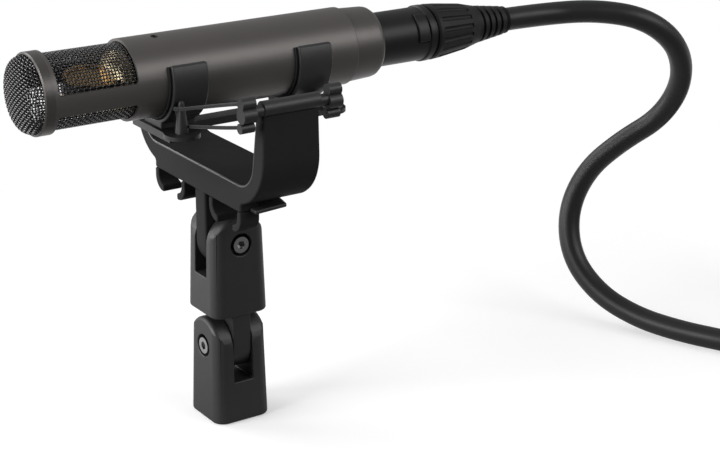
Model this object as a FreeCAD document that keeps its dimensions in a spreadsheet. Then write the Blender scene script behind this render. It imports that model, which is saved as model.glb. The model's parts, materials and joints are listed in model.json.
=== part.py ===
"""A pencil microphone in an elastic suspension mount on a two-way swivel stand adapter, with its cable.

FreeCAD macro, millimetres, +Z up. The origin is the mouth of the thread insert in the adapter's foot. The microphone lies
along X at the height axis_height: its mesh front looks along -X and its cable leaves along +X.
"""

import FreeCAD, Part
import math
import os
import Sketcher

Vector = FreeCAD.Vector
X_AXIS, Y_AXIS, Z_AXIS = Vector(1, 0, 0), Vector(0, 1, 0), Vector(0, 0, 1)

SIZES = {
    # swivel stand adapter
    "base_half": 10.9,
    "ear_round": 10.25,
    "corner_round": 4.5,
    "crown_round": 2.0,
    "base_round": 0.9,
    "low_pivot": 27.2,
    "high_pivot": 65.8,
    "middle_base": 39.9,
    "slot_half": 3.85,
    "slot_depth": 12.0,
    "tongue_half": 3.55,
    "tongue_reach": 9.5,
    "neck_reach": 10.0,
    "insert_radius": 7.1,
    "insert_length": 12.0,
    "thread_wall": 4.0,
    "screw_radius": 2.0,
    "screw_clearance": 0.06,
    "head_radius": 2.9,
    "head_length": 4.0,
    "head_seat": 6.2,
    "pocket_radius": 4.0,
    "socket_flats": 2.7,
    "nut_flats": 7.0,
    "nut_seat": 7.0,
    "nut_length": 3.2,
    # yoke
    "yoke_bottom": 87.4,
    "skirt_bottom": 85.0,
    "yoke_floor": 94.5,
    "yoke_half": 43.6,
    "yoke_corner": 18.5,
    "yoke_inner_corner": 9.0,
    "arm_top": 121.2,
    "arm_foot_thickness": 7.2,
    "arm_top_thickness": 4.2,
    "band_half_low": 11.3,
    "band_half_high": 10.4,
    "bar_radius": 2.6,
    "bar_height": 123.3,
    "lobe_start": 13.5,
    "lobe_end": 18.3,
    "cable_hook_mouth": 9.7,
    "cable_hook_inner": 8.5,
    "cable_hook_outer": 29.5,
    "cable_hook_drop": 7.7,
    "cable_hook_wall": 2.3,
    "cable_hook_depth": 7.4,
    "plate_thickness": 1.4,
    # cradle
    "rail_bottom": 107.4,
    "rail_thickness": 2.5,
    "rail_half": 3.0,
    "clip_length": 12.8,
    "front_clip": -26.7,
    "rear_clip": 20.9,
    "clip_inner": 14.4,
    "clip_outer": 15.9,
    "clip_mouth": 6.1,
    "lining_inner": 13.56,
    "lining_lip": 0.6,
    "post_inset": 2.2,
    "post_radius": 1.0,
    "post_foot_radius": 2.3,
    "post_side": 16.0,
    "post_top": 121.0,
    "rear_post_top": 118.6,
    "flange_top": 111.3,
    "flange_thickness": 1.4,
    "flange_radius": 6.0,
    "post_bar_half": 13.0,
    "post_bar_width": 6.0,
    "elastic_radius": 0.65,
    # microphone
    "axis_height": 127.0,
    "roll": 8.0,
    "body_radius": 13.5,
    "bore_radius": 12.6,
    "set_screw_x": -26.0,
    "set_screw_radius": 1.3,
    "set_screw_sink": 0.5,
    "ring_front": -70.0,
    "window_front": -65.3,
    "window_rear": -37.7,
    "body_rear": 46.0,
    "rim_chamfer": 0.4,
    "rib_half": 3.5,
    "mesh_radius": 12.5,
    "mesh_thickness": 0.5,
    "dome_height": 4.9,
    "dome_radius": 48.0,
    "capsule_centre": -48.0,
    "capsule_radius": 9.2,
    "capsule_half": 2.5,
    "cap_end": 58.6,
    "cap_radius": 12.9,
    "cap_end_radius": 12.4,
    "cap_round": 2.4,
    "socket_radius": 8.1,
    "socket_floor": 45.4,
    "pin_radius": 1.2,
    "pin_circle": 4.1,
    # plug, measured from its shoulder
    "nose_radius": 8.0,
    "nose_length": 13.0,
    "plug_radius": 9.55,
    "plug_belt": 20.7,
    "belt_radius": 10.05,
    "plug_gap": 23.2,
    "collar_start": 24.3,
    "collar_end": 44.3,
    "boot_end": 59.8,
    "cable_radius": 4.25,
    # coil of the cable
    "coil_x": 293.0,
    "coil_y": -45.0,
    "coil_turn": 48.0,
    "coil_half": 12.75,
    "strap_thickness": 1.0,
}

doc = FreeCAD.newDocument("microphone")
sheet = doc.addObject("Spreadsheet::Sheet", "dims")
for row, (alias, number) in enumerate(SIZES.items(), 1):
    sheet.set(f"A{row}", alias)
    sheet.set(f"B{row}", str(number))
    sheet.setAlias(f"B{row}", alias)
doc.recompute()


class Size:
    """A number and the expression on the sheet that gives it, so that sums of sizes stay bound to the sheet."""

    def __init__(self, value, text):
        self.value = value
        self.text = text

    def __add__(self, other):
        other = size(other)
        return Size(self.value + other.value, f"({self.text} + {other.text})")

    def __sub__(self, other):
        other = size(other)
        return Size(self.value - other.value, f"({self.text} - {other.text})")

    def __mul__(self, other):
        other = size(other)
        return Size(self.value * other.value, f"({self.text} * {other.text})")

    def __truediv__(self, other):
        other = size(other)
        return Size(self.value / other.value, f"({self.text} / {other.text})")

    def __neg__(self):
        return Size(-self.value, f"(0 - {self.text})")

    __radd__ = __add__

    def __rsub__(self, other):
        return size(other) - self


def size(number):
    """A plain number as a Size."""
    return number if isinstance(number, Size) else Size(float(number), f"{float(number):.6f}")


def dim(alias):
    """The size in the sheet under that alias."""
    return Size(SIZES[alias], f"dims.{alias}")


def bind(feature, prop, value):
    """Ties a property to the sheet."""
    feature.setExpression(prop, size(value).text)


def add(kind, label, **links):
    """A new object of the document, with its links set."""
    feature = doc.addObject(kind, label)
    feature.Label = label
    for name, value in links.items():
        setattr(feature, name, value)
    return feature


def place(feature, x=0, y=0, z=0, rotation=None):
    """Puts a feature at a point, whose coordinates stay tied to the sheet."""
    feature.Placement = FreeCAD.Placement(
        Vector(size(x).value, size(y).value, size(z).value), rotation or FreeCAD.Rotation()
    )
    for name, value in zip("xyz", (x, y, z)):
        bind(feature, f".Placement.Base.{name}", value)
    return feature


def box(label, low, high):
    """A box between two corners."""
    feature = add("Part::Box", label)
    for prop, a, b in zip(("Length", "Width", "Height"), low, high):
        bind(feature, prop, size(b) - a)
    return place(feature, *low)


TURNS = {
    "x": FreeCAD.Rotation(Y_AXIS, 90),
    "y": FreeCAD.Rotation(X_AXIS, -90),
    "z": FreeCAD.Rotation(),
}


def along(axis, start, across):
    """The point at start along the axis, with the other two coordinates from across."""
    a, b = across
    return {"x": (start, a, b), "y": (a, start, b), "z": (a, b, start)}[axis]


def rod(label, axis, start, end, radius, across=(0, 0)):
    """A round bar along an axis, from start to end."""
    feature = add("Part::Cylinder", label)
    bind(feature, "Radius", radius)
    bind(feature, "Height", size(end) - start)
    return place(feature, *along(axis, start, across), rotation=TURNS[axis])


def hexagon(label, axis, start, end, flats, across=(0, 0)):
    """A hexagonal bar along an axis, by its width across flats."""
    feature = add("Part::Prism", label, Polygon=6)
    bind(feature, "Circumradius", size(flats) / math.sqrt(3))
    bind(feature, "Height", size(end) - start)
    return place(feature, *along(axis, start, across), rotation=TURNS[axis])


def bar(label, first, last, radius):
    """A round bar between two points in space."""
    feature = add("Part::Cylinder", label)
    bind(feature, "Radius", radius)
    feature.Height = (last - first).Length
    feature.Placement = FreeCAD.Placement(first, FreeCAD.Rotation(Z_AXIS, last - first))
    return feature


def ball(label, centre, radius):
    """A ball about a point in space."""
    feature = add("Part::Sphere", label)
    bind(feature, "Radius", radius)
    feature.Placement.Base = centre
    return feature


def fuse(label, *shapes):
    return add("Part::MultiFuse", label, Shapes=list(shapes))


def cut(label, base, *tools):
    tool = tools[0] if len(tools) == 1 else fuse(f"{label}_tools", *tools)
    return add("Part::Cut", label, Base=base, Tool=tool)


def common(label, *shapes):
    return add("Part::MultiCommon", label, Shapes=list(shapes))


def group(label, *shapes):
    """Separate solids kept in one node."""
    return add("Part::Compound", label, Links=list(shapes))


def sketch_of(body, role, corners):
    """A closed outline on one of the body's origin planes, each corner tied to the sheet."""
    sketch = body.newObject("Sketcher::SketchObject", f"{body.Name}_outline")
    plane = next(f for f in body.Origin.OriginFeatures if f.Role == role)
    sketch.AttachmentSupport = [(plane, "")]
    sketch.MapMode = "FlatFace"
    points = [(size(a), size(b)) for a, b in corners]
    count = len(points)
    for i in range(count):
        a, b = points[i], points[(i + 1) % count]
        sketch.addGeometry(
            Part.LineSegment(Vector(a[0].value, a[1].value, 0), Vector(b[0].value, b[1].value, 0)), False
        )
    for i in range(count):
        sketch.addConstraint(Sketcher.Constraint("Coincident", i, 2, (i + 1) % count, 1))
    for i, point in enumerate(points):
        for kind, value in zip(("DistanceX", "DistanceY"), point):
            index = sketch.addConstraint(Sketcher.Constraint(kind, -1, 1, i, 1, value.value))
            sketch.setExpression(f"Constraints[{index}]", value.text)
    return sketch


def turned(label, corners, axis="H_Axis"):
    """A piece turned about X (or about Z with axis V_Axis) from its half section in the XZ plane."""
    body = add("PartDesign::Body", label)
    outline = sketch_of(body, "XZ_Plane", corners)
    feature = body.newObject("PartDesign::Revolution", f"{label}_turn")
    feature.Profile = outline
    feature.ReferenceAxis = (outline, [axis])
    feature.Angle = 360
    return body


def padded(label, role, corners, length):
    """A prism of an outline, as thick as length, half to each side of its plane."""
    body = add("PartDesign::Body", label)
    outline = sketch_of(body, role, corners)
    feature = body.newObject("PartDesign::Pad", f"{label}_pad")
    feature.Profile = outline
    feature.Midplane = True
    bind(feature, "Length", length)
    return body


def round_edges(body, choose, radius):
    """Fillets the edges of the body's last feature that choose picks."""
    doc.recompute()
    base = body.Tip
    names = [f"Edge{i}" for i, edge in enumerate(base.Shape.Edges, 1) if choose(edge)]
    feature = body.newObject("PartDesign::Fillet", f"{body.Name}_round{len(body.Group)}")
    feature.Base = (base, names)
    bind(feature, "Radius", radius)
    return feature


nodes = []


def node(feature):
    """Keeps a feature as a sub-part of its own."""
    nodes.append(feature)


def mic_node(feature, label=None):
    """Keeps a piece of the microphone, built about X, and puts it on the microphone's axis with its roll. A label is
    for a primitive, which already has its own place: it is wrapped."""
    if label:
        feature = group(label, feature)
    node(place(feature, 0, 0, dim("axis_height"), FreeCAD.Rotation(X_AXIS, SIZES["roll"])))


# ---------------------------------------------------------------------------------------------- swivel stand adapter


def rims(cylinder):
    """The numbers of a cylinder's two round edges."""
    doc.recompute()
    return [i for i, edge in enumerate(cylinder.Shape.Edges, 1) if edge.isClosed()]


def tapered_block(label, bottom, pivot, axis):
    """A square pillar with round corners that narrows to its ears' width at the pivot and is rounded about it."""
    top = pivot + dim("ear_round") + 1
    slope = (dim("base_half") - dim("ear_round")) / (pivot - bottom)
    top_half = dim("base_half") - slope * (top - bottom)
    wedge = add("Part::Wedge", f"{label}_wedge")
    for prop, value in {
        "Xmin": -dim("base_half"),
        "Zmin": -dim("base_half"),
        "Xmax": dim("base_half"),
        "Zmax": dim("base_half"),
        "X2min": -top_half,
        "Z2min": -top_half,
        "X2max": top_half,
        "Z2max": top_half,
        "Ymin": size(0),
        "Ymax": top - bottom,
    }.items():
        bind(wedge, prop, value)
    place(wedge, 0, 0, bottom, FreeCAD.Rotation(X_AXIS, 90))
    doc.recompute()
    upright = [
        i
        for i, edge in enumerate(wedge.Shape.Edges, 1)
        if abs(edge.Vertexes[0].Z - edge.Vertexes[1].Z) > 5
    ]
    level = [i for i, edge in enumerate(wedge.Shape.Edges, 1) if edge.BoundBox.ZMax < bottom.value + 0.1]
    corner, base = SIZES["corner_round"], SIZES["base_round"]
    rounded = add("Part::Fillet", f"{label}_rounded", Base=wedge)
    rounded.Edges = [(i, corner, corner) for i in upright] + [(i, base, base) for i in level]
    reach = dim("base_half") + 1
    trunk = box(f"{label}_trunk", (-reach, -reach, bottom), (reach, reach, pivot))
    ear = dim("ear_round")
    crown = rod(f"{label}_crown", axis, -ear, ear, ear, (0, pivot))
    soft = add("Part::Fillet", f"{label}_soft_crown", Base=crown)
    soft.Edges = [(i, SIZES["crown_round"], SIZES["crown_round"]) for i in rims(crown)]
    return common(f"{label}_block", rounded, fuse(f"{label}_limit", trunk, soft))


def pivot_cuts(label, axis, pivot):
    """The hole for a pivot screw, its head's round pocket and its nut's pocket. The head is on the negative side."""
    reach = dim("base_half") + 1
    across = (0, pivot)
    hole = dim("screw_radius") + dim("screw_clearance")
    return [
        rod(f"{label}_hole", axis, -reach, reach, hole, across),
        rod(f"{label}_head_pocket", axis, -reach, -dim("head_seat"), dim("pocket_radius"), across),
        hexagon(f"{label}_nut_pocket", axis, dim("nut_seat"), reach, dim("nut_flats") + 0.2, across),
    ]


def slot_cut(label, axis, pivot):
    """The gap between a clevis's ears, open along the other horizontal axis."""
    reach = dim("base_half") + 1
    half = dim("slot_half")
    floor = pivot - dim("slot_depth")
    top = pivot + reach + 1
    if axis == "x":
        return box(label, (-half, -reach, floor), (half, reach, top))
    return box(label, (-reach, -half, floor), (reach, half, top))


def foot():
    pivot = dim("low_pivot")
    block = tapered_block("foot", size(0), pivot, "x")
    seat = rod("foot_insert_seat", "z", 0, dim("insert_length"), dim("insert_radius"))
    cuts = pivot_cuts("foot", "x", pivot)
    node(cut("lower_clevis", block, slot_cut("foot_slot", "x", pivot), seat, *cuts))
    brass = rod("insert_blank", "z", 0, dim("insert_length"), dim("insert_radius"))
    wall = rod("insert_bore", "z", 0, dim("insert_length"), dim("thread_wall"))
    node(cut("thread_insert", brass, wall))


def pivot_screw(label, axis, pivot):
    """A socket-head screw and its nut."""
    across = (0, pivot)
    head_end = -dim("head_seat") - dim("head_length")
    head = rod(f"{label}_head", axis, head_end, -dim("head_seat"), dim("head_radius"), across)
    end = dim("nut_seat") + dim("nut_length") - 0.4
    shank = rod(f"{label}_shank", axis, -dim("head_seat") - 0.5, end, dim("screw_radius"), across)
    socket = hexagon(f"{label}_socket", axis, head_end, head_end + 2.2, dim("socket_flats"), across)
    node(cut(f"{label}_screw", fuse(f"{label}_solid", head, shank), socket))
    nut_end = dim("nut_seat") + dim("nut_length")
    blank = hexagon(f"{label}_nut_blank", axis, dim("nut_seat"), nut_end, dim("nut_flats"), across)
    bore = rod(f"{label}_nut_bore", axis, dim("nut_seat"), nut_end, dim("screw_radius"), across)
    node(cut(f"{label}_nut", blank, bore))


def middle():
    pivot = dim("high_pivot")
    block = tapered_block("middle", dim("middle_base"), pivot, "y")
    upper = cut("middle_upper", block, slot_cut("middle_slot", "y", pivot), *pivot_cuts("middle", "y", pivot))
    low = dim("low_pivot")
    half, reach = dim("tongue_half"), dim("tongue_reach")
    web = box("middle_web", (-half, -reach, low), (half, reach, dim("middle_base") + 2))
    eye = rod("middle_eye", "x", -half, half, reach, (0, low))
    hole = rod("middle_eye_hole", "x", -half, half, dim("screw_radius") + dim("screw_clearance"), (0, low))
    node(cut("upper_clevis", fuse("middle_solid", upper, web, eye), hole))


# -------------------------------------------------------------------------------------------------------------- yoke


def yoke():
    half, bottom, floor = dim("yoke_half"), dim("yoke_bottom"), dim("yoke_floor")
    top = dim("arm_top")
    inner_top = half - dim("arm_top_thickness")
    inner_foot = half - dim("arm_foot_thickness")
    corners = [
        (-half, top),
        (-half, bottom),
        (half, bottom),
        (half, top),
        (inner_top, top),
        (inner_foot, floor),
        (-inner_foot, floor),
        (-inner_top, top),
    ]
    band = padded("yoke_band", "YZ_Plane", corners, dim("band_half_low") * 2)

    def outer_corner(edge):
        low, high = (v.Point for v in edge.Vertexes)
        return abs(low.x - high.x) > 5 and abs(low.z - SIZES["yoke_bottom"]) < 0.1

    def inner_corner(edge):
        low, high = (v.Point for v in edge.Vertexes)
        return abs(low.x - high.x) > 5 and abs(low.z - SIZES["yoke_floor"]) < 0.1

    round_edges(band, outer_corner, dim("yoke_corner"))
    round_edges(band, inner_corner, dim("yoke_inner_corner"))
    taper = add("Part::Wedge", "yoke_taper")
    low, high = dim("band_half_low"), dim("band_half_high")
    for prop, value in {
        "Xmin": -low,
        "Xmax": low,
        "Zmin": -half - 1,
        "Zmax": half + 1,
        "X2min": -high,
        "X2max": high,
        "Z2min": -half - 1,
        "Z2max": half + 1,
        "Ymin": size(0),
        "Ymax": top - dim("skirt_bottom"),
    }.items():
        bind(taper, prop, value)
    place(taper, 0, 0, dim("skirt_bottom"), FreeCAD.Rotation(X_AXIS, 90))
    pivot = dim("high_pivot")
    thick, reach = dim("tongue_half"), dim("neck_reach")
    neck = box("yoke_neck", (-reach, -thick, pivot), (reach, thick, bottom + 2))
    eye = rod("yoke_eye", "y", -thick, thick, reach, (0, pivot))
    hole = rod("yoke_eye_hole", "y", -thick, thick, dim("screw_radius") + dim("screw_clearance"), (0, pivot))
    outer = dim("cable_hook_outer")
    front = -dim("band_half_low")
    skirt = box(
        "yoke_skirt",
        (front, -outer, dim("skirt_bottom")),
        (front + dim("cable_hook_depth"), outer, floor - 4),
    )
    tapered = common("yoke_tapered", fuse("yoke_skirted", band, skirt), taper)
    node(cut("yoke", fuse("yoke_solid", tapered, neck, eye), hole))


LOBES = ((43.0, 126.0, 2.0), (43.2, 122.3, 2.6), (42.3, 118.0, 1.7))


def hook_bar(label, side):
    """The round bar on an arm's top with a lobed hook at both ends. side is -1 at -Y and 1 at +Y."""
    height = dim("bar_height")
    reach = dim("band_half_high")
    y = side * (SIZES["yoke_half"] - 1.1)
    whole = rod(f"{label}_rod", "x", -reach, reach, dim("bar_radius"), (y, height))
    spare = dim("bar_radius") + 1
    under = box(
        f"{label}_under", (-reach, y - spare, height - spare), (reach, y + spare, dim("arm_top"))
    )
    pieces = [cut(f"{label}_bar", whole, under)]
    for end in (-1, 1):
        start, stop = (dim("lobe_start"), dim("lobe_end")) if end > 0 else (-dim("lobe_end"), -dim("lobe_start"))
        neck_span = (reach - 1, start) if end > 0 else (stop, -reach + 1)
        pieces.append(rod(f"{label}_neck{end + 1}", "x", *neck_span, 2.0, (side * 42.8, 123.0)))
        for i, (across, up, radius) in enumerate(LOBES):
            pieces.append(rod(f"{label}_lobe{end + 1}{i}", "x", start, stop, radius, (side * across, up)))
    slots = [elastic(f"{label}_slot{end + 1}", side, end, dim("elastic_radius") + 0.05) for end in (-1, 1)]
    node(cut(label, fuse(f"{label}_solid", *pieces), *slots))


def cable_hook(label, side):
    """An open hook under the skirt of the yoke's front edge, for a cable to be pushed into from below."""
    inner, outer = dim("cable_hook_inner"), dim("cable_hook_outer")
    wall, top = dim("cable_hook_wall"), dim("skirt_bottom")
    bottom = top - dim("cable_hook_drop")
    front = -dim("band_half_low")
    back = front + dim("cable_hook_depth")
    y_low, y_high = (inner, outer) if side > 0 else (-outer, -inner)
    block = box(f"{label}_block", (front, y_low, bottom), (back, y_high, top))
    doc.recompute()
    corners = [
        i
        for i, edge in enumerate(block.Shape.Edges, 1)
        if abs(edge.Vertexes[0].X - edge.Vertexes[1].X) > 1 and edge.Vertexes[0].Z < bottom.value + 0.1
    ]
    rounded = add("Part::Fillet", f"{label}_rounded", Base=block)
    rounded.Edges = [(i, 5.0, 5.0) for i in corners]
    space = box(f"{label}_space", (front, y_low + wall, bottom + wall), (back, y_high - wall, top))
    doc.recompute()
    inner_corners = [
        i
        for i, edge in enumerate(space.Shape.Edges, 1)
        if abs(edge.Vertexes[0].X - edge.Vertexes[1].X) > 1
        and edge.Vertexes[0].Z < bottom.value + wall.value + 0.1
    ]
    smooth = add("Part::Fillet", f"{label}_smooth", Base=space)
    smooth.Edges = [(i, 3.5, 3.5) for i in inner_corners]
    middle_y = (y_low + y_high) / 2
    half_mouth = dim("cable_hook_mouth") / 2
    mouth = box(
        f"{label}_mouth",
        (front, middle_y - half_mouth, bottom),
        (back, middle_y + half_mouth, bottom + wall + 1),
    )
    node(cut(label, rounded, smooth, mouth))


def rest_plate():
    """The thin plate that sticks out behind the skirt at the yoke's near corner."""
    depth = SIZES["cable_hook_depth"] - SIZES["band_half_low"]
    side = -SIZES["cable_hook_outer"] - 0.2
    corners = [(depth, -20), (5.2, -20), (6.4, -25), (4.9, -32.2), (-7.7, -33.6), (-7.7, side), (depth, side)]
    body = padded("rest_plate", "XY_Plane", corners, dim("plate_thickness"))
    node(place(body, 0, 0, SIZES["skirt_bottom"] + SIZES["plate_thickness"] / 2))


def elastic(label, side, end, radius):
    """A loop of round elastic from the slot in a hook bar's end to the side of the cradle's post. It stays with the
    yoke while the cradle moves, so it is held clear of the post."""
    post = front_post_x() if end < 0 else rear_post_x()
    beside = SIZES["post_foot_radius"] + SIZES["elastic_radius"] + 0.2
    y_in = side * (SIZES["post_side"] + 0.9)
    high = SIZES["post_top" if end < 0 else "rear_post_top"] - 1.5
    x_out = end * (SIZES["lobe_start"] + SIZES["lobe_end"]) / 2
    upper, lower = LOBES[0], LOBES[2]
    route = [
        Vector(post - end * (beside - 0.6), y_in, high),
        Vector(x_out, side * upper[0], upper[1]),
        Vector(x_out, side * lower[0], lower[1]),
        Vector(post - end * beside, y_in, 112.8),
    ]
    pieces = []
    for i, point in enumerate(route):
        pieces.append(bar(f"{label}_run{i}", point, route[(i + 1) % len(route)], radius))
        pieces.append(ball(f"{label}_knee{i}", point, radius))
    return fuse(label, *pieces)


# ------------------------------------------------------------------------------------------------------------ cradle


def ring_piece(label, start, end, outer, inner, mouth):
    """A tube about the microphone's axis, open above the mouth's height."""
    across = (0, dim("axis_height"))
    shell = cut(
        f"{label}_shell",
        rod(f"{label}_outer", "x", start, end, outer, across),
        rod(f"{label}_inner", "x", start, end, inner, across),
    )
    top = dim("axis_height") + outer + 1
    opening = box(f"{label}_opening", (start, -outer, mouth), (end, outer, top))
    return shell, opening


def clip(label, start, rail_top):
    end = start + dim("clip_length")
    across = (0, dim("axis_height"))
    mouth = dim("axis_height") + dim("clip_mouth")
    shell, opening = ring_piece(label, start, end, dim("clip_outer"), dim("clip_inner"), mouth)
    saddle = box(f"{label}_saddle", (start, -6, rail_top), (end, 6, rail_top + 4))
    bore = rod(f"{label}_bore", "x", start, end, dim("clip_inner"), across)
    foot_part = cut(f"{label}_foot", saddle, bore)
    node(cut(f"{label}_clip", fuse(f"{label}_solid", shell, foot_part), opening))
    lip = dim("lining_lip")
    lining, lining_opening = ring_piece(
        f"{label}_lining", start - lip, end + lip, dim("clip_inner"), dim("lining_inner"), mouth - 0.6
    )
    node(cut(f"{label}_lining", lining, lining_opening))


def front_post_x():
    return SIZES["front_clip"] + SIZES["post_inset"]


def rear_post_x():
    return SIZES["rear_clip"] + SIZES["clip_length"] - SIZES["post_inset"]


def post_bar(label, start, post_x, post_top):
    """The bar across under a clip, with a round flange and a tapered post at both ends."""
    top = dim("flange_top")
    rail_top = dim("rail_bottom") + dim("rail_thickness")
    side = dim("post_side")
    reach, half = dim("post_bar_half"), dim("post_bar_width") / 2
    pieces = [box(f"{label}_bar", (post_x - half, -reach, dim("rail_bottom")), (post_x + half, reach, rail_top))]
    for sign in (-1, 1):
        across = (post_x, side * sign)
        pieces.append(rod(f"{label}_flange{sign + 1}", "z", rail_top, top, dim("flange_radius"), across))
        post = add("Part::Cone", f"{label}_post{sign + 1}")
        bind(post, "Radius1", dim("post_foot_radius"))
        bind(post, "Radius2", dim("post_radius"))
        bind(post, "Height", dim(post_top) - top)
        pieces.append(place(post, post_x, side * sign, top))
        tip = Vector(post_x, SIZES["post_side"] * sign, SIZES[post_top])
        pieces.append(ball(f"{label}_tip{sign + 1}", tip, dim("post_radius")))
    span = (start - 8, start + dim("clip_length") + 8)
    clear = rod(f"{label}_clear", "x", *span, dim("clip_outer"), (0, dim("axis_height")))
    node(cut(label, fuse(f"{label}_solid", *pieces), clear))


def cradle():
    bottom, top = dim("rail_bottom"), dim("rail_bottom") + dim("rail_thickness")
    front, rear = dim("front_clip"), dim("rear_clip")
    half, spacing = dim("rail_half"), dim("post_bar_width") / 2
    rail = (front_post_x() + spacing, rear_post_x() - spacing)
    node(box("cradle_rail", (rail[0], -half, bottom), (rail[1], half, top)))
    clip("front", front, top)
    clip("rear", rear, top)
    post_bar("front_post_bar", front, front_post_x(), "post_top")
    post_bar("rear_post_bar", rear, rear_post_x(), "rear_post_top")


# -------------------------------------------------------------------------------------------------------- microphone


def dome(label, apex, back, radius, curve, rounding):
    """A round plug with a gently domed face towards -X and a rounded rim."""
    face = add("Part::Sphere", f"{label}_face")
    bind(face, "Radius", curve)
    place(face, apex + curve)
    blank = common(f"{label}_blank", face, rod(f"{label}_disc", "x", apex - 1, back, radius))
    doc.recompute()
    rim = [
        i
        for i, edge in enumerate(blank.Shape.Edges, 1)
        if len(edge.Vertexes) == 1 and abs(edge.Curve.Radius - size(radius).value) < 0.01
        and edge.BoundBox.XMax < size(back).value - 0.5
    ]
    rounded = add("Part::Fillet", f"{label}_rounded", Base=blank)
    rounded.Edges = [(i, rounding, rounding) for i in rim]
    return rounded


def microphone():
    radius, bore = dim("body_radius"), dim("bore_radius")
    chamfer = dim("rim_chamfer")
    front, rear = dim("window_front") - 1.2, dim("body_rear")
    tube = turned(
        "tube_blank",
        [
            (front, bore),
            (rear, bore),
            (rear, radius - chamfer),
            (rear - chamfer, radius),
            (front, radius),
        ],
    )
    screw_hole = rod("set_screw_hole", "z", bore - 1, radius + 1, dim("set_screw_radius"), (dim("set_screw_x"), 0))
    mic_node(cut("body_tube", tube, window("upper_window", 1), window("lower_window", -1), screw_hole))
    face = radius - dim("set_screw_sink")
    screw = rod("set_screw_blank", "z", bore - 0.4, face, dim("set_screw_radius"), (dim("set_screw_x"), 0))
    recess = hexagon("set_screw_socket", "z", face - 0.7, face, 0.9, (dim("set_screw_x"), 0))
    mic_node(cut("set_screw", screw, recess))

    ring_front = dim("ring_front")
    mic_node(
        turned(
            "front_ring",
            [
                (front, bore),
                (front, radius),
                (ring_front + chamfer, radius),
                (ring_front, radius - chamfer),
                (ring_front, bore + 0.2),
                (ring_front + 0.6, bore),
            ],
        )
    )
    mesh, skin = dim("mesh_radius"), dim("mesh_thickness")
    rim = ring_front + 0.8
    end = dim("window_rear") + 2
    mic_node(turned("side_mesh", [(rim, mesh - skin), (end, mesh - skin), (end, mesh), (rim, mesh)]))
    apex = ring_front - dim("dome_height")
    curve = dim("dome_radius")
    outer = dome("dome_outer", apex, rim, mesh, curve, 3.6)
    inner = dome("dome_inner", apex + skin, rim, mesh - skin, curve - skin, 3.1)
    mic_node(cut("front_mesh", outer, inner))
    capsule()
    board()


def window(label, side):
    """The space cut out of the tube above or below its two ribs, with rounded corners. side is 1 above, -1 below."""
    reach = dim("body_radius") + 2
    low, high = (dim("rib_half"), reach) if side > 0 else (-reach, -dim("rib_half"))
    block = box(label + "_block", (dim("window_front"), -reach, low), (dim("window_rear"), reach, high))
    doc.recompute()
    near_rib = SIZES["rib_half"] * side
    corners = [
        i
        for i, edge in enumerate(block.Shape.Edges, 1)
        if abs(edge.Vertexes[0].Y - edge.Vertexes[1].Y) > 5 and abs(edge.Vertexes[0].Z - near_rib) < 0.1
    ]
    rounded = add("Part::Fillet", label, Base=block)
    rounded.Edges = [(i, 0.9, 0.9) for i in corners]
    return rounded


def capsule():
    """The side-facing capsule behind the windows, its two gold clamp rings and diaphragms, and what holds it."""
    centre, radius, half = dim("capsule_centre"), dim("capsule_radius"), dim("capsule_half")
    middle_of = (centre, 0)
    mic_node(rod("capsule_blank", "z", -half, half, radius, middle_of), "capsule_body")
    ring_in, ring_high = radius - 1.6, 0.8
    rings, films = [], []
    for name, low, high, film in (
        ("upper", half, half + ring_high, (half, half + 0.2)),
        ("lower", -half - ring_high, -half, (-half - 0.2, -half)),
    ):
        blank = rod(f"{name}_ring_blank", "z", low, high, radius, middle_of)
        rings.append(cut(f"{name}_ring", blank, rod(f"{name}_ring_hole", "z", low, high, ring_in, middle_of)))
        films.append(rod(f"{name}_film", "z", *film, ring_in, middle_of))
    mic_node(group("capsule_rings", *rings))
    mic_node(group("capsule_diaphragms", *films))
    hub = dim("window_rear") + 2
    stem = rod("stem_rod", "x", centre + radius - 1.5, hub, 1.6)
    clear = rod("stem_clear", "z", -half, half, radius, middle_of)
    mic_node(cut("capsule_stem", stem, clear))
    mic_node(rod("bulkhead_disc", "x", hub, hub + 2, dim("bore_radius")), "capsule_bulkhead")


def board():
    """The chassis rails, circuit board and output transformer inside the body."""
    start = dim("window_rear") + 4
    end = dim("body_rear") - 6
    rails = [box(f"rail{side + 1}", (start, side * 9.6 - 1, -4), (end, side * 9.6 + 1, 4)) for side in (-1, 1)]
    mic_node(group("chassis_rails", *rails))
    mic_node(box("board_slab", (start + 2, -8.6, -0.8), (end - 2, 8.6, 0.8)), "circuit_board")
    mic_node(rod("transformer_can", "z", 0.8, 8.8, 6.5, (end - 12, 0)), "output_transformer")
    parts = [box(f"capacitor{i}", (start + 8 + 9 * i, -3, 0.8), (start + 14 + 9 * i, 3, 6.8)) for i in range(4)]
    mic_node(group("film_capacitors", *parts))


def pin_places(circle):
    """The three contacts' places about a connector's axis, as (y, z)."""
    return [
        (circle * math.cos(math.radians(a)), circle * math.sin(math.radians(a))) for a in (210, 330, 90)
    ]


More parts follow.
